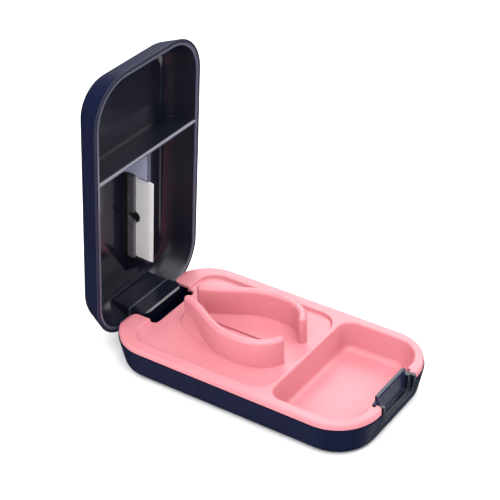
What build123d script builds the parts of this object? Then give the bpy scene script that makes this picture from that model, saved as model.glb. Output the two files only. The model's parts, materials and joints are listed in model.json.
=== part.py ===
from build123d import *
from math import atan, degrees
import os

os.makedirs("parts", exist_ok=True)

# Pill splitter, millimetres. X runs along the case towards the latch, Y across it, Z up.
# The origin is the middle of the underside. The lid's pieces are drawn closed, then opened about the hinge.

# ---- case outline ----
case_length = 90.9
case_width = 51.2
case_corner_r = 14.6

# ---- base shell ----
base_height = 10.0
base_inset = 2.0  # how far the wall leans in by the underside
base_foot_r = 3.0
base_wall = 1.3
base_floor = 1.6
base_draft = degrees(atan(base_inset / base_height))
post_r = 2.6
post_xs = (-24.0, 6.0)
post_y = 17.0

# ---- pill tray ----
rim_z = 12.2
lip_bottom_z = 10.3
lip_inset = 0.3
work_floor_z = 11.2
tray_underside_z = 9.6
work_x0 = -37.3
work_x1 = 12.2
work_half_width = 21.4
work_corner_r = 6.5
store_x0 = 13.7
store_x1 = 41.7
store_half_width = 22.1
store_rear_r = 4.6
store_front_r = 9.2
store_floor_z = 3.2
store_wall = 0.8
mouth_r = 0.6  # rounding along the tray's upper edges
arm_top_z = 20.4
arm_thickness = 2.6
arm_foot_r = 2.9
arm_foot_height = 4.0
groove_width = 1.0
groove_bottom_z = 10.5
peg_r = 1.2

# ---- hinge ----
hinge_x = -42.3
hinge_z = 9.05
pin_r = 1.0
pin_half_length = 13.6
notch_front_x = -34.9
notch_half_width = 10.4
notch_rear_r = 3.0
lug_inner_y = 10.7
lug_outer_y = 14.0
lug_r = 2.1
stop_z = 6.85
swing_r = 3.15  # the case's rear edge is rounded to this radius about the hinge
lid_open_angle = 86.0

# ---- front catch ----
plate_x0 = 41.5
plate_thickness = 1.0
plate_half_width = 8.0
plate_top_z = 14.0
catch_half_width = 9.4
catch_flange_half_width = 10.3
catch_flange_x = 42.9
catch_flange_top_z = 11.0
catch_bottom_z = 4.9
step1_half_width = 7.7
step1_z = 6.4
step2_x = 43.8
step2_half_width = 8.6
step2_z = 5.5

# ---- lid ----
lid_rim_z = 12.5
lid_depth = 10.4
lid_inset = 4.5
lid_edge_r = 7.0
lid_draft = degrees(atan(lid_inset / lid_depth))
lid_lip_r = 0.3
cover_wall = 1.1
cover_ceiling = 0.9
liner_gap = 0.05
liner_wall = 0.8
liner_ceiling = 0.65
slot_xs = (9.2, -24.0)
slot_length = 4.4
slot_width = 1.0
slot_y = 24.3
rib_x = 12.8
rib_thickness = 1.0
web_thickness = 1.2
edge_bevel = 0.55
block_x = -39.1
block_half_width = 9.5
tongue_ridge_x = -38.65
tongue_ridge_z = 6.55
tongue_half_width = 9.9
tongue_corner_r = 2.4
tongue_back_x = -44.1
barrel_r = 2.1
bead_half_length = 10.0
bead_z = 13.2
bead_r = 0.4

# ---- blade ----
blade_x0 = -26.2
blade_x1 = 2.8
blade_edge_z = 10.9
bevel_z = 12.4
blade_top_z = 21.0
blade_thickness = 0.4
hole_x = -11.7
hole_z = 18.0
hole_r = 2.1
seat_z = 17.45
clamp_x0 = blade_x0 - 0.5
clamp_x1 = blade_x1 + 0.7
clamp_top_z = 19.75
clamp_gap_r = 1.6
cheek_outer_y = 1.5
cheek_inner_y = 0.25
rivet_xs = (-21.5, -2.0)
rivet_z = 18.6
rivet_r = 0.6
rivet_length = 0.9

hinge_axis = Axis((hinge_x, 0, hinge_z), (0, 1, 0))
ceiling_z = lid_rim_z + lid_depth - cover_ceiling - liner_gap - liner_ceiling


def outline(inset):
    """The case's rounded outline, drawn in by an inset."""
    return RectangleRounded(case_length - 2 * inset, case_width - 2 * inset, case_corner_r - inset)


def opened(part):
    """A lid piece turned from closed to the open pose."""
    return part.rotate(hinge_axis, -lid_open_angle)


# what the lid's rim sweeps behind the hinge, taken off the case's rear edge
with BuildPart() as rear_sweep:
    with BuildSketch(Plane.XZ.offset(-case_width / 2)):
        with Locations((hinge_x - 2.5, hinge_z + 2.5)):
            Rectangle(5.0, 5.0)
        with Locations((hinge_x, hinge_z)):
            Circle(swing_r, mode=Mode.SUBTRACT)
    extrude(amount=case_width)

# ======== base shell ========
with BuildPart() as base_shell:
    with BuildSketch(Plane.XY.offset(base_height)):
        outline(0)
    extrude(amount=-base_height, taper=base_draft)
    fillet(base_shell.faces().sort_by(Axis.Z)[0].edges(), base_foot_r)
    with BuildSketch(Plane.XY.offset(base_height)):
        outline(base_wall)
    extrude(amount=-(base_height - base_floor), taper=base_draft, mode=Mode.SUBTRACT)

    # posts that hold the tray up and take its pegs
    with BuildSketch(Plane.XY.offset(base_floor - 0.2)):
        with Locations([(x, side * post_y) for x in post_xs for side in (-1, 1)]):
            Circle(post_r)
    extrude(amount=tray_underside_z - 0.05 - base_floor + 0.2)
    with BuildSketch(Plane.XY.offset(tray_underside_z)):
        with Locations([(x, side * post_y) for x in post_xs for side in (-1, 1)]):
            Circle(peg_r + 0.05)
    extrude(amount=-4.0, mode=Mode.SUBTRACT)

    # hinge lugs either side of the tongue
    for side in (-1, 1):
        with BuildSketch(Plane.XZ.offset(-side * lug_inner_y)) as lug:
            with Locations((hinge_x, hinge_z)):
                Circle(lug_r)
            with Locations((hinge_x, (hinge_z + base_floor - 0.2) / 2)):
                Rectangle(2 * lug_r, hinge_z - base_floor + 0.2)
        extrude(amount=-side * (lug_outer_y - lug_inner_y))

    add(rear_sweep.part, mode=Mode.SUBTRACT)
    # opening in the rear wall for the tongue, its sill is the lid's open stop
    with Locations((hinge_x - 2.0, 0, (stop_z + base_height + 2.0) / 2)):
        Box(8.0, 2 * notch_half_width, base_height + 2.0 - stop_z, mode=Mode.SUBTRACT)
    with Locations(Location((hinge_x, 0, hinge_z), (90, 0, 0))):
        Cylinder(barrel_r + 0.4, 2 * notch_half_width, mode=Mode.SUBTRACT)
        Cylinder(pin_r + 0.01, 2 * pin_half_length, mode=Mode.SUBTRACT)

    # opening in the front wall for the catch
    with Locations((case_length / 2, 0, (catch_bottom_z - 0.1 + base_height + 2.0) / 2)):
        Box(9.0, 2 * catch_half_width + 0.2, base_height + 2.1 - catch_bottom_z, mode=Mode.SUBTRACT)
    with Locations((catch_flange_x - 2.0, 0, (catch_bottom_z - 0.1 + base_height + 2.0) / 2)):
        Box(4.2, 2 * catch_flange_half_width + 0.2, base_height + 2.1 - catch_bottom_z, mode=Mode.SUBTRACT)

# ======== pill tray ========
# the storage compartment's hollow
with BuildPart() as store_hollow:
    with BuildSketch(Plane.XY.offset(rim_z)) as store_mouth:
        with BuildLine():
            store_mid_x = (store_x0 + store_x1) / 2
            Polyline(
                (store_mid_x, -store_half_width),
                (store_x1, -store_half_width),
                (store_x1, store_half_width),
                (store_mid_x, store_half_width),
            )
            Polyline(
                (store_mid_x, store_half_width),
                (store_x0, store_half_width),
                (store_x0, -store_half_width),
                (store_mid_x, -store_half_width),
            )
        make_face()
        fillet(store_mouth.vertices().group_by(Axis.X)[-1], store_front_r)
        fillet(store_mouth.vertices().group_by(Axis.X)[0], store_rear_r)
    extrude(amount=-(rim_z - store_floor_z), taper=base_draft)
    fillet(store_hollow.faces().sort_by(Axis.Z)[0].edges(), 2.2)

# one arm of the V-shaped holder, drawn along its middle
arm_path = [(-27.3, 3.4), (-18.0, 7.9), (-9.5, 11.8), (-3.5, 12.5), (2.9, 11.3), (6.7, 8.4), (8.0, 6.2)]
with BuildPart() as arm:
    with BuildSketch(Plane.XY.offset(work_floor_z - 0.2)):
        with BuildLine() as arm_line:
            Spline(*arm_path)
        trace(lines=arm_line.line, line_width=arm_thickness)
        with Locations(arm_path[0], arm_path[-1]):
            Circle(arm_thickness / 2)
    extrude(amount=arm_top_z - work_floor_z + 0.2)
    fillet(arm.faces().sort_by(Axis.Z)[-1].edges(), arm_thickness / 2 - 0.2)
    # spreading foot at the rear end
    with Locations((*arm_path[0], work_floor_z - 0.2 + arm_foot_height / 2)):
        Cone(arm_foot_r, arm_thickness / 2 - 0.1, arm_foot_height)

# ramp that stiffens the outside of an arm near the point of the V, fading out along it
arm_along = Vector(0.877, 0.481, 0)
arm_outward = Vector(-0.481, 0.877, 0)
with BuildPart() as arm_ramp:
    for start, width, height in (((-26.6, 4.3), 2.8, 8.2), ((-12.8, 11.2), 0.7, 1.2)):
        with BuildSketch(Plane(origin=(*start, work_floor_z - 0.2), x_dir=arm_outward, z_dir=arm_along)):
            with BuildLine():
                Polyline((width, 0), (0, 0), (0, height))
                Bezier((0, height), (0.25 * width, 0.2 * height), (width, 0))
            make_face()
    loft(ruled=True)

with BuildPart() as pill_tray:
    # lip resting over the base wall, and the body inside it
    with BuildSketch(Plane.XY.offset(lip_bottom_z)):
        outline(lip_inset)
    extrude(amount=rim_z - lip_bottom_z)
    with BuildSketch(Plane.XY.offset(tray_underside_z)):
        outline(base_wall + 0.25)
    extrude(amount=lip_bottom_z - tray_underside_z)
    # outside of the storage compartment
    with BuildSketch(Plane.XY.offset(tray_underside_z)) as store_outer:
        with Locations(((store_x0 + store_x1) / 2, 0)):
            Rectangle(store_x1 - store_x0 + 2 * store_wall - 1.0, 2 * (store_half_width + store_wall) - 1.0)
        fillet(store_outer.vertices().group_by(Axis.X)[-1], store_front_r + 0.3)
        fillet(store_outer.vertices().group_by(Axis.X)[0], store_rear_r + 0.3)
    extrude(amount=-(tray_underside_z - store_floor_z + store_wall), taper=base_draft)
    add(store_hollow.part, mode=Mode.SUBTRACT)

    # shallow work area, its foot and all the rim's edges rounded
    with BuildSketch(Plane.XY.offset(rim_z)):
        with Locations(((work_x0 + work_x1) / 2, 0)):
            RectangleRounded(work_x1 - work_x0, 2 * work_half_width, work_corner_r)
    extrude(amount=-(rim_z - work_floor_z), taper=20, mode=Mode.SUBTRACT)
    fillet(pill_tray.edges().filter_by_position(Axis.Z, work_floor_z - 0.01, work_floor_z + 0.01), 0.35)
    fillet(pill_tray.edges().group_by(Axis.Z)[-1], mouth_r)

    # the holder's arms, blended into the floor
    for half in (arm.part, arm_ramp.part):
        add(half)
        add(half.mirror(Plane.XZ))

    # groove the blade's edge drops into
    with Locations(((blade_x0 + blade_x1) / 2 - 0.3, 0, (groove_bottom_z + work_floor_z + 0.1) / 2)):
        Box(
            blade_x1 - blade_x0 + 3.0,
            groove_width,
            work_floor_z + 0.1 - groove_bottom_z,
            mode=Mode.SUBTRACT,
        )

    # notch at the hinge end, its inner and outer corners rounded
    with BuildSketch(Plane.XY) as notch:
        with BuildLine():
            Polyline(
                (-50.0, notch_half_width + 8.0),
                (-44.2, notch_half_width + 8.0),
                (-44.2, notch_half_width),
                (notch_front_x, notch_half_width),
                (notch_front_x, -notch_half_width),
                (-44.2, -notch_half_width),
                (-44.2, -notch_half_width - 8.0),
                (-50.0, -notch_half_width - 8.0),
                close=True,
            )
        make_face()
        fillet(notch.vertices().filter_by_position(Axis.Y, -11.0, 11.0).group_by(Axis.X)[0], notch_rear_r)
        fillet(notch.vertices().group_by(Axis.X)[-1], 1.6)
    extrude(amount=rim_z + 1.0, mode=Mode.SUBTRACT)
    add(rear_sweep.part, mode=Mode.SUBTRACT)
    # underside hollowed round the notch, for the hinge lugs and the turning tongue
    for front_x, top_z in ((work_x0 - 0.6, hinge_z + lug_r + 0.2), (notch_front_x + 1.0, work_floor_z - 0.8)):
        with Locations(((front_x + hinge_x - lug_r - 0.3) / 2, 0, top_z / 2)):
            Box(front_x - hinge_x + lug_r + 0.3, 2 * lug_outer_y + 0.9, top_z, mode=Mode.SUBTRACT)
    # room for the front catch, the rim's ends rounded beside it
    with BuildSketch(Plane.XY.offset(catch_bottom_z - 0.1)) as catch_room:
        with BuildLine():
            Polyline(
                (plate_x0 - 1.1, catch_flange_half_width + 0.4),
                (catch_flange_x + 0.1, catch_flange_half_width + 0.4),
                (catch_flange_x + 0.1, catch_half_width + 0.1),
                (case_length / 2 - 0.1, catch_half_width + 0.1),
                (case_length / 2 - 0.1, catch_half_width + 4.0),
                (case_length / 2 + 4.0, catch_half_width + 4.0),
                (case_length / 2 + 4.0, 0),
                (plate_x0 - 1.1, 0),
                close=True,
            )
        make_face()
        fillet(
            catch_room.vertices().sort_by_distance((case_length / 2 - 0.1, catch_half_width + 0.1))[0],
            1.8,
        )
        mirror(about=Plane.XZ)
    extrude(amount=rim_z + 1.0 - catch_bottom_z, mode=Mode.SUBTRACT)
    # pegs pressed into the base's posts
    with BuildSketch(Plane.XY.offset(tray_underside_z)):
        with Locations([(x, side * post_y) for x in post_xs for side in (-1, 1)]):
            Circle(peg_r)
    extrude(amount=-3.5)

# ======== front catch ========
front_slope = base_inset / base_height
catch_front_x = case_length / 2 - front_slope * (base_height - catch_bottom_z)
with BuildPart() as front_catch:
    with BuildSketch(Plane.XZ.offset(-catch_half_width)):
        with BuildLine():
            Polyline(
                (plate_x0, catch_bottom_z),
                (catch_front_x, catch_bottom_z),
                (case_length / 2 - 0.1, base_height),
                (case_length / 2 - 0.1, rim_z - 0.1),
                (plate_x0, rim_z - 0.1),
                close=True,
            )
        make_face()
    extrude(amount=2 * catch_half_width)
    # flange that holds it behind the front wall
    with Locations(((plate_x0 + catch_flange_x) / 2, 0, (catch_bottom_z + catch_flange_top_z) / 2)):
        Box(catch_flange_x - plate_x0, 2 * catch_flange_half_width, catch_flange_top_z - catch_bottom_z)
    # catch plate
    with Locations((plate_x0 + plate_thickness / 2, 0, (step1_z + plate_top_z) / 2)):
        Box(plate_thickness, 2 * plate_half_width, plate_top_z - step1_z)
    # two-step thumb pocket in front of the plate
    with BuildSketch(Plane.YZ.offset(plate_x0 + plate_thickness)) as step1:
        with Locations((0, (step1_z + plate_top_z + 2.0) / 2)):
            Rectangle(2 * step1_half_width, plate_top_z + 2.0 - step1_z)
        fillet(step1.vertices().group_by(Axis.Y)[0], 1.4)
    extrude(amount=6.0, mode=Mode.SUBTRACT)
    with BuildSketch(Plane.YZ.offset(step2_x)) as step2:
        with Locations((0, (step2_z + plate_top_z + 2.0) / 2)):
            Rectangle(2 * step2_half_width, plate_top_z + 2.0 - step2_z)
        fillet(step2.vertices().group_by(Axis.Y)[0], 1.8)
    extrude(amount=6.0, mode=Mode.SUBTRACT)
    # small barb along the plate's top
    with BuildSketch(Plane.XZ.offset(-plate_half_width + 0.8)):
        with BuildLine():
            Polyline(
                (plate_x0 + plate_thickness - 0.3, plate_top_z),
                (plate_x0 + plate_thickness, plate_top_z),
                (plate_x0 + plate_thickness + 0.2, plate_top_z - 0.5),
                (plate_x0 + plate_thickness, plate_top_z - 0.9),
                (plate_x0 + plate_thickness - 0.3, plate_top_z - 0.9),
                close=True,
            )
        make_face()
    extrude(amount=2 * (plate_half_width - 0.8))

# ======== lid cover ========
with BuildPart() as cover_hollow:
    with BuildSketch(Plane.XY.offset(lid_rim_z)):
        outline(cover_wall)
    extrude(amount=lid_depth - cover_ceiling, taper=lid_draft)
    fillet(cover_hollow.faces().sort_by(Axis.Z)[-1].edges(), lid_edge_r - 0.9)

with BuildPart() as lid_cover:
    with BuildSketch(Plane.XY.offset(lid_rim_z)):
        outline(0)
    extrude(amount=lid_depth, taper=lid_draft)
    fillet(lid_cover.faces().sort_by(Axis.Z)[-1].edges(), lid_edge_r)
    add(cover_hollow.part, mode=Mode.SUBTRACT)
    fillet(lid_cover.edges().group_by(Axis.Z)[0], lid_lip_r)
    # clip slots inside the rim
    with Locations([(x, side * slot_y, lid_rim_z + 0.6) for x in slot_xs for side in (-1, 1)]):
        Box(slot_length, slot_width, 1.2, mode=Mode.SUBTRACT)

# ======== lid liner ========
liner_inset = cover_wall + liner_gap
inner_inset = liner_inset + liner_wall
inner_front_x = case_length / 2 - inner_inset

# the liner's hollow, less everything that stands inside it
with BuildPart() as liner_hollow:
    with BuildSketch(Plane.XY.offset(lid_rim_z)):
        outline(inner_inset)
    extrude(amount=ceiling_z - lid_rim_z, taper=lid_draft)
    fillet(liner_hollow.faces().sort_by(Axis.Z)[-1].edges(), lid_edge_r - 1.5)
    # cross rib that closes the storage compartment, its front edge bevelled
    with BuildSketch(Plane.XZ.offset(-case_width / 2)):
        with BuildLine():
            Polyline(
                (rib_x, lid_rim_z),
                (rib_x, lid_rim_z + lid_depth),
                (rib_x + rib_thickness, lid_rim_z + lid_depth),
                (rib_x + rib_thickness, lid_rim_z + edge_bevel),
                (rib_x + rib_thickness - edge_bevel, lid_rim_z),
                close=True,
            )
        make_face()
    extrude(amount=case_width, mode=Mode.SUBTRACT)
    # web from the blade's front end to the rib
    with BuildSketch(Plane.XZ.offset(-web_thickness / 2)):
        with BuildLine():
            Polyline(
                (blade_x1 + 0.3, lid_rim_z),
                (blade_x1 + 0.3, seat_z - 1.8),
                (clamp_x1 + 0.4, seat_z + 0.7),
                (clamp_x1 + 0.4, lid_rim_z + lid_depth),
                (rib_x, lid_rim_z + lid_depth),
                (rib_x, lid_rim_z),
                close=True,
            )
        make_face()
    extrude(amount=web_thickness, mode=Mode.SUBTRACT)
    # sloping gusset behind the blade's rear end
    with BuildSketch(Plane.XZ.offset(-web_thickness / 2)):
        with BuildLine():
            Polyline(
                (clamp_x0 - 0.1, lid_rim_z + 0.1),
                (clamp_x0 - 0.1, lid_rim_z + lid_depth),
                (clamp_x0 - 8.2, lid_rim_z + lid_depth),
                close=True,
            )
        make_face()
    extrude(amount=web_thickness, mode=Mode.SUBTRACT)
    # far cheek of the blade seat, with a lug round the blade's hole
    with Locations(((blade_x0 + blade_x1) / 2, (cheek_inner_y + cheek_outer_y) / 2, (seat_z + 24.0) / 2)):
        Box(blade_x1 - blade_x0 + 0.7, cheek_outer_y - cheek_inner_y, 24.0 - seat_z, mode=Mode.SUBTRACT)
    with BuildSketch(Plane.XZ.offset(-cheek_outer_y)):
        with Locations((hole_x, hole_z)):
            Circle(hole_r + 0.7)
    extrude(amount=cheek_outer_y - cheek_inner_y, mode=Mode.SUBTRACT)
    # near cheek between the clamp and the ceiling
    with Locations(((blade_x0 + blade_x1) / 2, -(cheek_inner_y + cheek_outer_y) / 2, (clamp_top_z + 24.1) / 2)):
        Box(blade_x1 - blade_x0 + 0.7, cheek_outer_y - cheek_inner_y, 23.9 - clamp_top_z, mode=Mode.SUBTRACT)
    # hinge block, with a bevel where it meets the ceiling
    with BuildSketch(Plane.XZ.offset(-block_half_width)):
        with BuildLine():
            Polyline(
                (block_x - 8.0, lid_rim_z),
                (block_x, lid_rim_z),
                (block_x, ceiling_z - edge_bevel),
                (block_x + edge_bevel, ceiling_z),
                (block_x + edge_bevel, lid_rim_z + lid_depth),
                (block_x - 8.0, lid_rim_z + lid_depth),
                close=True,
            )
        make_face()
    extrude(amount=2 * block_half_width, mode=Mode.SUBTRACT)

# tongue below the rim, round the hinge pin, its lower corners rounded
with BuildPart() as tongue:
    with BuildSketch(Plane.XZ.offset(-tongue_half_width)):
        with BuildLine():
            Polyline(
                (hinge_x - 0.2, lid_rim_z + 1.0),
                (hinge_x - 1.2, lid_rim_z - 0.1),
                (tongue_back_x, lid_rim_z - 0.1),
                (tongue_back_x, hinge_z),
                (hinge_x, hinge_z - barrel_r),
                (tongue_ridge_x - 1.5, tongue_ridge_z),
                (tongue_ridge_x - edge_bevel, tongue_ridge_z),
                (tongue_ridge_x, tongue_ridge_z + edge_bevel),
                (block_x, lid_rim_z + 1.0),
                close=True,
            )
        make_face()
        with Locations((hinge_x, hinge_z)):
            Circle(barrel_r)
    extrude(amount=2 * tongue_half_width)
    with BuildSketch(Plane.YZ.offset(hinge_x - 5.0)) as tongue_front:
        with Locations((0, tongue_ridge_z + 5.0)):
            Rectangle(2 * tongue_half_width, 10.0)
        fillet(tongue_front.vertices().group_by(Axis.Y)[0], tongue_corner_r)
    extrude(amount=10.0, mode=Mode.INTERSECT)

with BuildPart() as lid_liner:
    with BuildSketch(Plane.XY.offset(lid_rim_z)):
        outline(liner_inset)
    extrude(amount=lid_depth - cover_ceiling - liner_gap, taper=lid_draft)
    fillet(lid_liner.faces().sort_by(Axis.Z)[-1].edges(), lid_edge_r - 0.95)
    add(liner_hollow.part, mode=Mode.SUBTRACT)
    add(tongue.part)
    # snap bead inside the front wall
    with BuildSketch(Plane.XZ.offset(-bead_half_length)):
        with Locations((inner_front_x - 0.05, bead_z)):
            Circle(bead_r)
    extrude(amount=2 * bead_half_length)
    # locating boss in the blade's hole, and two rivets that hold the clamp
    with BuildSketch(Plane.XZ.offset(-cheek_inner_y)):
        with Locations((hole_x, hole_z)):
            Circle(hole_r - 0.15)
    extrude(amount=cheek_inner_y + blade_thickness / 2)
    with BuildSketch(Plane.XZ.offset(-cheek_inner_y)):
        with Locations([(x, rivet_z) for x in rivet_xs]):
            Circle(rivet_r)
    extrude(amount=cheek_inner_y + rivet_length)
    # snap tabs in the cover's clip slots
    with Locations([(x, side * slot_y, lid_rim_z + 0.7) for x in slot_xs for side in (-1, 1)]):
        Box(slot_length - 1.0, slot_width - 0.4, 0.5)
    with Locations(Location((hinge_x, 0, hinge_z), (90, 0, 0))):
        Cylinder(pin_r + 0.05, 2 * block_half_width + 2, mode=Mode.SUBTRACT)

# ======== cutting blade ========
with BuildPart() as cutting_blade:
    with BuildSketch(Plane.YZ.offset(blade_x0)):
        with BuildLine():
            Polyline(
                (-blade_thickness / 2, blade_top_z),
                (-blade_thickness / 2, bevel_z),
                (-0.03, blade_edge_z),
                (0.03, blade_edge_z),
                (blade_thickness / 2, bevel_z),
                (blade_thickness / 2, blade_top_z),
                close=True,
            )
        make_face()
    extrude(amount=blade_x1 - blade_x0)
    with BuildSketch(Plane.XZ.offset(-1.0)):
        with Locations((hole_x, hole_z)):
            Circle(hole_r)
        with Locations([(x, rivet_z) for x in rivet_xs]):
            Circle(rivet_r + 0.1)
    extrude(amount=2.0, mode=Mode.SUBTRACT)

# ======== blade clamp ========
with BuildPart() as blade_clamp:
    with BuildSketch(Plane.XZ.offset(cheek_inner_y)):
        with BuildLine():
            Polyline(
                (clamp_x0, clamp_top_z),
                (clamp_x0, seat_z),
                (clamp_x1, seat_z),
                (clamp_x1, clamp_top_z),
                close=True,
            )
        make_face()
        with Locations((hole_x + 0.6, hole_z)):
            Circle(clamp_gap_r, mode=Mode.SUBTRACT)
    extrude(amount=cheek_outer_y - cheek_inner_y)
    fillet(blade_clamp.edges().filter_by(Axis.Z).sort_by(Axis.Y)[:2], 0.6)
    # blind holes for the rivets
    with BuildSketch(Plane.XZ.offset(cheek_inner_y)):
        with Locations([(x, rivet_z) for x in rivet_xs]):
            Circle(rivet_r + 0.05)
    extrude(amount=rivet_length, mode=Mode.SUBTRACT)

# ======== hinge pin ========
with BuildPart() as hinge_pin:
    with Locations(Location((hinge_x, 0, hinge_z), (90, 0, 0))):
        Cylinder(pin_r, 2 * pin_half_length - 0.2)
    chamfer(hinge_pin.edges().filter_by(GeomType.CIRCLE), 0.2)

# ======== export, lid pieces opened ========
pieces = {
    "base_shell": base_shell.part,
    "pill_tray": pill_tray.part,
    "front_catch": front_catch.part,
    "lid_cover": opened(lid_cover.part),
    "lid_liner": opened(lid_liner.part),
    "cutting_blade": opened(cutting_blade.part),
    "blade_clamp": opened(blade_clamp.part),
    "hinge_pin": hinge_pin.part,
}
for name, piece in pieces.items():
    piece.label = name
    export_step(piece, f"parts/{name}.step")
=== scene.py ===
import json
from math import cos, radians, sin

import bpy
from mathutils import Matrix, Vector


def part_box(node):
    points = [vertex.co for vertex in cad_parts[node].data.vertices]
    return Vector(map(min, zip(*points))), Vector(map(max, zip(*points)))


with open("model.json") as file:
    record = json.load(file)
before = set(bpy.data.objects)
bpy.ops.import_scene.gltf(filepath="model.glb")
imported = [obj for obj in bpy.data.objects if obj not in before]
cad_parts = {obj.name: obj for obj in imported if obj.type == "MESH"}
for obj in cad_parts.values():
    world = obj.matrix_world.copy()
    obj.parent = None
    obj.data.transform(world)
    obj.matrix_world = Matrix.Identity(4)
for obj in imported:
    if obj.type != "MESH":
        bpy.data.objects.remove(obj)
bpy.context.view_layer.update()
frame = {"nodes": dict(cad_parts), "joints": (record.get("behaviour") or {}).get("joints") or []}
nodes = frame["nodes"]
MM = 0.001

# ---- camera ----
CAMERA_AZIMUTH = radians(34.53)
CAMERA_ELEVATION = radians(32.84)
CAMERA_ROLL = radians(-1.1)
CAMERA_DISTANCE = 445.89 * MM
CAMERA_TARGET = Vector((-5.88, -0.65, 43.12)) * MM
CAMERA_LENS = 109.5

# ---- colours, linear ----
PINK = (0.60, 0.212, 0.246)
PINK_DEEP = (0.57, 0.190, 0.220)
NAVY = (0.0025, 0.0045, 0.0250)
NAVY_LIGHT = (0.0038, 0.0065, 0.0300)
# painted highlights: the rim band of the lid cover and of the liner coloured paler where it catches
# light
RIM_COVER_PAINTED_HIGHLIGHT = (0.022, 0.022, 0.038)
RIM_LINER_PAINTED_HIGHLIGHT = (0.070, 0.072, 0.110)
GLOSS_BLACK = (0.0050, 0.0058, 0.0130)
GLOSS_BLACK_LIGHT = (0.0065, 0.0074, 0.0155)
# painted reflection: pale slate on the thin web of the liner
WEB_PAINTED_REFLECTION = (0.34, 0.36, 0.49)
SEAT_BLACK = (0.0090, 0.0090, 0.0105)
CATCH_DARK = (0.003, 0.004, 0.007)
# painted light: the catch plate's lit face coloured lighter than the shaded rest
CATCH_PLATE_PAINTED_LIGHT = (0.014, 0.018, 0.045)
# painted highlight along the catch pocket's sharp edges
CATCH_EDGE_PAINTED_HIGHLIGHT = (0.11, 0.12, 0.16)
STEEL = (0.88, 0.88, 0.90)
STEEL_BRIGHT = (0.95, 0.95, 0.97)
# painted highlight on the blade's ground bevel
BEVEL_PAINTED_HIGHLIGHT = (0.97, 0.97, 0.97)
CLAMP_GREY = (0.090, 0.088, 0.100)
CLAMP_DARK = (0.060, 0.058, 0.066)
FLOOR = (0.94, 0.94, 0.94)
FLOOR_COOL = (0.93, 0.93, 0.94)


# ---- lid, for what is described as it lies closed ----
LID_JOINT = frame["joints"][0]
LID_OPEN = radians(LID_JOINT["range_deg"][1])
RIB_X = 12.8 * MM
RIM_Z = 12.5 * MM
# height of the rim band that gets a painted highlight
RIM_HIGHLIGHT_BAND = 0.35 * MM
BEVEL_WIDTH = 1.5 * MM
WEB_HALF = 0.7 * MM
WEB_ABOVE_CLAMP = 2.5 * MM
SEAT_MARGIN = 0.6 * MM
WALL_SOFT = 0.4 * MM
PLATE_DEPTH = 1.45 * MM

# ---- room, for light and reflections ----
OBJECT_MIDDLE = Vector((0, 0, 0.035))
WORLD_TOP = 0.26
WORLD_BOTTOM = 0.06
WORLD_LOW_Z = -0.3
WORLD_HIGH_Z = 0.5
PAPER_GLOWS = [  # strength, direction, and the cosines where it starts and is full
    (1.0, (-0.475, -0.691, -0.543), 0.86, 0.97),
    (2.6, (0.52, 0.50, -0.69), 0.976, 0.982),
]
SOFTBOXES = [  # name, direction, distance, size, power
    ("key_top", (0.20, -0.25, 1.0), 0.75, (0.9, 0.9), 10.5),
    ("fill_front", (-0.35, -1.0, 0.45), 0.8, (0.6, 0.5), 3.2),
    ("fill_right", (1.0, -0.75, 0.10), 0.8, (0.4, 0.4), 2.4),
    ("sheen_rear", (-0.476, 0.693, 0.541), 0.8, (0.5, 0.5), 3.6),
    ("rim_right", (0.52, 0.69, 0.46), 0.7, (0.3, 0.3), 2.2),
]


def closed_box(node_name):
    """Lowest and highest corners of a lid piece once its opening is undone."""
    hinge = Vector(LID_JOINT["pos_m"])
    close = Matrix.Rotation(LID_OPEN, 3, "Y")
    points = [close @ (v.co - hinge) + hinge for v in nodes[node_name].data.vertices]
    low = Vector([min(p[i] for p in points) for i in range(3)])
    high = Vector([max(p[i] for p in points) for i in range(3)])
    return low, high


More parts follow.
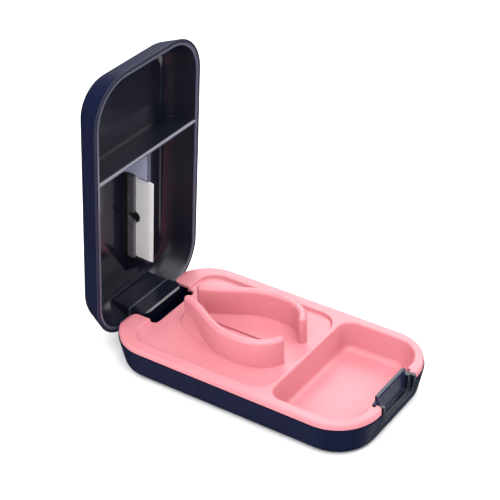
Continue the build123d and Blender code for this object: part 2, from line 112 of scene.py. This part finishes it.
# ======== material helpers ========
class Surface:
    """One material's node tree, with short calls for the nodes used here."""

    def __init__(self, name):
        self.material = bpy.data.materials.new(name)
        self.material.use_nodes = True
        self.tree = self.material.node_tree
        self.shader = self.tree.nodes["Principled BSDF"]
        self.place = self.node("ShaderNodeTexCoord").outputs["Object"]

    def node(self, kind, **settings):
        made = self.tree.nodes.new(kind)
        for key, value in settings.items():
            setattr(made, key, value)
        return made

    def link(self, source, target):
        self.tree.links.new(source, target)

    def stretched(self, scale):
        """The object's coordinates, scaled differently along each axis."""
        mapping = self.node("ShaderNodeMapping")
        mapping.inputs["Scale"].default_value = scale
        self.link(self.place, mapping.inputs["Vector"])
        return mapping.outputs["Vector"]

    def noise(self, scale, detail=3.0, roughness=0.5, vector=None):
        made = self.node("ShaderNodeTexNoise")
        made.inputs["Scale"].default_value = scale
        made.inputs["Detail"].default_value = detail
        made.inputs["Roughness"].default_value = roughness
        self.link(vector or self.place, made.inputs["Vector"])
        return made.outputs["Fac"]

    def spread(self, value, low_in, high_in, low_out, high_out):
        """A value mapped from one range to another, held at its ends."""
        made = self.node("ShaderNodeMapRange")
        made.inputs["From Min"].default_value = low_in
        made.inputs["From Max"].default_value = high_in
        made.inputs["To Min"].default_value = low_out
        made.inputs["To Max"].default_value = high_out
        self.link(value, made.inputs["Value"])
        return made.outputs["Result"]

    def varied(self, noise, low, high):
        """A noise spread between two values."""
        return self.spread(noise, 0.3, 0.7, low, high)

    def maths(self, operation, first, second):
        made = self.node("ShaderNodeMath", operation=operation)
        for socket, value in zip(made.inputs, (first, second)):
            if isinstance(value, (int, float)):
                socket.default_value = value
            else:
                self.link(value, socket)
        return made.outputs["Value"]

    def mix(self, share, first, second):
        """Two colours mixed by a share; each is a colour or a socket."""
        made = self.node("ShaderNodeMix", data_type="RGBA")
        self.link(share, made.inputs["Factor"])
        for name, value in (("A", first), ("B", second)):
            socket = [s for s in made.inputs if s.name == name and s.type == "RGBA"][0]
            if isinstance(value, tuple):
                socket.default_value = (*value, 1.0)
            else:
                self.link(value, socket)
        return [s for s in made.outputs if s.type == "RGBA"][0]

    def rounded(self, radius):
        """A normal that rolls over sharp edges, as moulded and ground edges do."""
        made = self.node("ShaderNodeBevel", samples=4)
        made.inputs["Radius"].default_value = radius
        return made.outputs["Normal"]

    def sharp_edges(self, radius, low=0.02, high=0.12):
        """1 along sharp edges and 0 on flats, from how far a rounded normal turns off the true one."""
        rounded = self.node("ShaderNodeBevel", samples=6)
        rounded.inputs["Radius"].default_value = radius
        dot = self.node("ShaderNodeVectorMath", operation="DOT_PRODUCT")
        self.link(rounded.outputs["Normal"], dot.inputs[0])
        self.link(self.node("ShaderNodeNewGeometry").outputs["Normal"], dot.inputs[1])
        return self.spread(dot.outputs["Value"], 1.0 - low, 1.0 - high, 0.0, 1.0)

    def between(self, value, low, high, soft=0.00005):
        """1 where a value lies between two limits."""
        rise = self.spread(value, low - soft, low + soft, 0.0, 1.0)
        fall = self.spread(value, high - soft, high + soft, 1.0, 0.0)
        return self.maths("MULTIPLY", rise, fall)

    def closed_place(self):
        """X along, Y across and Z up, as a lid piece lies when the lid is closed."""
        hinge = Vector(LID_JOINT["pos_m"])
        turned = self.node("ShaderNodeVectorRotate", rotation_type="AXIS_ANGLE")
        turned.inputs["Center"].default_value = hinge
        turned.inputs["Axis"].default_value = (0, 1, 0)
        turned.inputs["Angle"].default_value = LID_OPEN
        self.link(self.place, turned.inputs["Vector"])
        split = self.node("ShaderNodeSeparateXYZ")
        self.link(turned.outputs["Vector"], split.inputs["Vector"])
        return split.outputs["X"], split.outputs["Y"], split.outputs["Z"]

    def bump(self, height, distance, strength=1.0, before=None):
        made = self.node("ShaderNodeBump")
        made.inputs["Strength"].default_value = strength
        made.inputs["Distance"].default_value = distance
        self.link(height, made.inputs["Height"])
        if before is not None:
            self.link(before, made.inputs["Normal"])
        return made.outputs["Normal"]

    def finish(self, colour, roughness, normal, **fixed):
        self.link(colour, self.shader.inputs["Base Color"])
        self.link(roughness, self.shader.inputs["Roughness"])
        self.link(normal, self.shader.inputs["Normal"])
        for name, value in fixed.items():
            self.shader.inputs[name.replace("_", " ")].default_value = value
        return self.material


def skin(s, edge_radius, grain, grain_depth, wave_depth=0.00002):
    """A moulded skin: rounded edges, a fine tool grain and a slightly uneven surface."""
    normal = s.rounded(edge_radius)
    normal = s.bump(s.noise(60.0, 2.0), wave_depth, 1.0, normal)
    return s.bump(s.noise(grain, 2.0, 0.6), grain_depth, 1.0, normal)


def moulded(name, colour, colour_two, rough_low, rough_high, grain, grain_depth, edge_radius, **fixed):
    """Moulded plastic: faint colour drift and uneven gloss over a moulded skin."""
    s = Surface(name)
    drift = s.varied(s.noise(90.0, 4.0), 0.0, 1.0)
    base = s.mix(drift, colour, colour_two)
    patches = s.noise(260.0, 5.0, 0.6)
    roughness = s.varied(patches, rough_low, rough_high)
    return s.finish(base, roughness, skin(s, edge_radius, grain, grain_depth), **fixed)


# ======== materials ========
def pink_plastic():
    return moulded(
        "pink_plastic", PINK, PINK_DEEP, 0.36, 0.48, 5200.0, 0.000006, 0.0003, Specular_IOR_Level=0.5
    )


def navy_plastic():
    return moulded(
        "navy_plastic", NAVY, NAVY_LIGHT, 0.42, 0.55, 6500.0, 0.00001, 0.0003, Specular_IOR_Level=0.13
    )


def lid_navy_plastic():
    """The same navy, with a painted highlight making the lid's rim band paler, unevenly."""
    s = Surface("lid_navy_plastic")
    up = s.closed_place()[2]
    drift = s.varied(s.noise(90.0, 4.0), 0.0, 1.0)
    base = s.mix(drift, NAVY, NAVY_LIGHT)
    # painted highlight: the cover's rim band coloured paler, broken up by noise
    painted_light_unevenness = s.varied(s.noise(300.0, 4.0), 0.8, 1.0)
    rim = s.maths("MULTIPLY", s.between(up, 0.0, RIM_Z + RIM_HIGHLIGHT_BAND), painted_light_unevenness)
    base = s.mix(rim, base, RIM_COVER_PAINTED_HIGHLIGHT)
    roughness = s.varied(s.noise(260.0, 5.0, 0.6), 0.47, 0.52)
    return s.finish(base, roughness, skin(s, 0.0003, 6500.0, 0.00001, 0.000008), Specular_IOR_Level=0.13)


def liner_plastic():
    """Glossy near-black plastic: the thin web has a painted reflection in pale slate, the rim band a
    painted highlight, and the blade's seat is textured and dull.
    """
    s = Surface("liner_plastic")
    along, across, up = s.closed_place()
    blade_low, blade_high = closed_box("cutting_blade")
    clamp_low, clamp_high = closed_box("blade_clamp")
    # painted reflection: the thin web between blade and rib coloured pale slate
    thin = s.between(across, -WEB_HALF, WEB_HALF)
    web = s.maths("MULTIPLY", thin, s.between(along, blade_high.x + 0.2 * MM, RIB_X))
    web = s.maths("MULTIPLY", web, s.between(up, 0.0, clamp_high.z + WEB_ABOVE_CLAMP))
    seat = s.between(across, clamp_low.y - 0.2 * MM, -0.1 * MM)
    seat_along = s.between(along, blade_low.x - SEAT_MARGIN, blade_high.x + SEAT_MARGIN)
    seat = s.maths("MULTIPLY", seat, seat_along)
    drift = s.varied(s.noise(90.0, 4.0), 0.0, 1.0)
    base = s.mix(drift, GLOSS_BLACK, GLOSS_BLACK_LIGHT)
    base = s.mix(web, base, WEB_PAINTED_REFLECTION)
    base = s.mix(seat, base, SEAT_BLACK)
    # painted highlight: the liner's rim band coloured paler
    base = s.mix(s.between(up, RIM_Z - 0.1 * MM, RIM_Z + RIM_HIGHLIGHT_BAND), base, RIM_LINER_PAINTED_HIGHLIGHT)
    walls = s.between(up, RIM_Z + 0.7 * MM, clamp_high.z + 0.8 * MM, WALL_SOFT)
    dull = s.maths("MAXIMUM", walls, seat)
    gloss = s.varied(s.noise(260.0, 5.0, 0.6), 0.10, 0.16)
    roughness = s.maths("ADD", s.spread(dull, 0.0, 1.0, 0.0, 0.25), gloss)
    return s.finish(base, roughness, skin(s, 0.00025, 3000.0, 0.0000008), Specular_IOR_Level=0.32)


def catch_plastic():
    """Satin dark plastic, with painted light: its upright plate coloured paler as lit, unevenly, and the
    pocket's sharp edges given painted highlights.
    """
    s = Surface("catch_plastic")
    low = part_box("front_catch")[0]
    split = s.node("ShaderNodeSeparateXYZ")
    s.link(s.place, split.inputs["Vector"])
    plate = s.between(split.outputs["X"], low[0] - 1 * MM, low[0] + PLATE_DEPTH)
    # painted light: the upright plate coloured lighter, unevenly, than the shaded rest of the catch
    painted_light_unevenness = s.varied(s.noise(400.0, 4.0), 0.75, 1.0)
    base = s.mix(s.maths("MULTIPLY", plate, painted_light_unevenness), CATCH_DARK, CATCH_PLATE_PAINTED_LIGHT)
    pocket = s.maths("SUBTRACT", 1.0, plate)
    # painted highlight: pale colour along the pocket's sharp edges
    base = s.mix(s.maths("MULTIPLY", pocket, s.sharp_edges(0.00035)), base, CATCH_EDGE_PAINTED_HIGHLIGHT)
    roughness = s.varied(s.noise(300.0, 5.0, 0.6), 0.22, 0.34)
    return s.finish(base, roughness, skin(s, 0.0003, 4000.0, 0.000002), Specular_IOR_Level=0.35)


def clamp_plastic():
    return moulded(
        "clamp_plastic", CLAMP_GREY, CLAMP_DARK, 0.25, 0.35, 5000.0, 0.000003, 0.0003,
        Specular_IOR_Level=0.5,
    )


def ground_steel():
    """Steel with grinding lines along the blade, a softer uneven sheen and a painted highlight on the
    ground bevel.
    """
    s = Surface("ground_steel")
    up = s.closed_place()[2]
    blade_low = closed_box("cutting_blade")[0]
    lines = s.noise(1.0, 3.0, 0.7, s.stretched((9000.0, 9000.0, 160.0)))
    cloud = s.noise(140.0, 3.0)
    base = s.mix(s.varied(lines, 0.0, 1.0), STEEL, STEEL_BRIGHT)
    # painted highlight: the ground bevel coloured brighter
    bevel = s.between(up, 0.0, blade_low.z + BEVEL_WIDTH)
    base = s.mix(bevel, base, BEVEL_PAINTED_HIGHLIGHT)
    roughness = s.varied(cloud, 0.42, 0.52)
    normal = s.bump(lines, 0.000002)
    return s.finish(base, roughness, normal, Metallic=0.35)


def drawn_steel():
    """The hinge pin's drawn wire, with lines round it."""
    s = Surface("drawn_steel")
    lines = s.noise(1.0, 2.0, 0.6, s.stretched((400.0, 9000.0, 400.0)))
    base = s.mix(s.varied(lines, 0.0, 1.0), STEEL, STEEL_BRIGHT)
    roughness = s.varied(s.noise(500.0), 0.25, 0.4)
    normal = s.bump(lines, 0.000003)
    return s.finish(base, roughness, normal, Metallic=1.0)


def paper_floor():
    s = Surface("paper_floor")
    base = s.mix(s.varied(s.noise(9.0), 0.0, 1.0), FLOOR, FLOOR_COOL)
    roughness = s.varied(s.noise(40.0), 0.7, 0.85)
    normal = s.bump(s.noise(900.0), 0.00002)
    return s.finish(base, roughness, normal, Specular_IOR_Level=0.1)


FINISHES = {
    "base_shell": navy_plastic,
    "pill_tray": pink_plastic,
    "front_catch": catch_plastic,
    "lid_cover": lid_navy_plastic,
    "lid_liner": liner_plastic,
    "cutting_blade": ground_steel,
    "blade_clamp": clamp_plastic,
    "hinge_pin": drawn_steel,
}
made_materials = {}
for node_name, finish in FINISHES.items():
    if finish not in made_materials:
        made_materials[finish] = finish()
    piece = nodes[node_name]
    piece.data.materials.clear()
    piece.data.materials.append(made_materials[finish])


# ======== stage: floor, camera, light ========
def link_object(name, data):
    made = bpy.data.objects.new(name, data)
    bpy.context.scene.collection.objects.link(made)
    return made


def make_floor(half_size=3.0):
    mesh = bpy.data.meshes.new("floor")
    corners = [(x * half_size, y * half_size, -0.0001) for x, y in ((-1, -1), (1, -1), (1, 1), (-1, 1))]
    mesh.from_pydata(corners, [], [(0, 1, 2, 3)])
    floor = link_object("floor", mesh)
    mesh.materials.append(paper_floor())
    floor.visible_glossy = False


def make_camera():
    back = Vector(
        (
            sin(CAMERA_AZIMUTH) * cos(CAMERA_ELEVATION),
            -cos(CAMERA_AZIMUTH) * cos(CAMERA_ELEVATION),
            sin(CAMERA_ELEVATION),
        )
    )
    level_right = Vector((cos(CAMERA_AZIMUTH), sin(CAMERA_AZIMUTH), 0))
    level_up = back.cross(level_right)
    right = level_right * cos(CAMERA_ROLL) + level_up * sin(CAMERA_ROLL)
    up = -level_right * sin(CAMERA_ROLL) + level_up * cos(CAMERA_ROLL)
    data = bpy.data.cameras.new("camera")
    data.lens = CAMERA_LENS
    data.sensor_width = 36.0
    data.clip_start = 0.01
    data.clip_end = 20.0
    camera = link_object("camera", data)
    turn = Matrix((right, up, back)).transposed().to_4x4()
    camera.matrix_world = Matrix.Translation(CAMERA_TARGET + back * CAMERA_DISTANCE) @ turn
    bpy.context.scene.camera = camera


def softbox(name, direction, distance, size, power):
    """An area light at a direction from the object's middle, facing it."""
    data = bpy.data.lights.new(name, "AREA")
    data.shape = "RECTANGLE"
    data.size, data.size_y = size
    data.energy = power
    lamp = link_object(name, data)
    away = Vector(direction).normalized()
    lamp.location = OBJECT_MIDDLE + away * distance
    lamp.rotation_mode = "QUATERNION"
    lamp.rotation_quaternion = away.to_track_quat("Z", "Y")


def make_world():
    """A pale room, darker below the horizon but for the glow of the paper near the object."""
    world = bpy.data.worlds.new("room")
    world.use_nodes = True
    tree = world.node_tree
    coords = tree.nodes.new("ShaderNodeTexCoord")
    split = tree.nodes.new("ShaderNodeSeparateXYZ")
    height = tree.nodes.new("ShaderNodeMapRange")
    height.inputs["From Min"].default_value = WORLD_LOW_Z
    height.inputs["From Max"].default_value = WORLD_HIGH_Z
    height.inputs["To Min"].default_value = WORLD_BOTTOM
    height.inputs["To Max"].default_value = WORLD_TOP
    tree.links.new(coords.outputs["Generated"], split.inputs["Vector"])
    tree.links.new(split.outputs["Z"], height.inputs["Value"])
    total = height.outputs["Result"]
    for strength, direction, edge, core in PAPER_GLOWS:
        toward = tree.nodes.new("ShaderNodeVectorMath")
        toward.operation = "DOT_PRODUCT"
        toward.inputs[1].default_value = Vector(direction).normalized()
        patch = tree.nodes.new("ShaderNodeMapRange")
        patch.interpolation_type = "SMOOTHSTEP"
        patch.inputs["From Min"].default_value = edge
        patch.inputs["From Max"].default_value = core
        patch.inputs["To Max"].default_value = strength
        add = tree.nodes.new("ShaderNodeMath")
        add.operation = "ADD"
        tree.links.new(coords.outputs["Generated"], toward.inputs[0])
        tree.links.new(toward.outputs["Value"], patch.inputs["Value"])
        tree.links.new(total, add.inputs[0])
        tree.links.new(patch.outputs["Result"], add.inputs[1])
        total = add.outputs["Value"]
    tree.links.new(total, tree.nodes["Background"].inputs["Color"])
    bpy.context.scene.world = world


make_floor()
make_camera()
make_world()
for softbox_row in SOFTBOXES:
    softbox(*softbox_row)
bpy.context.scene.view_settings.view_transform = "Standard"
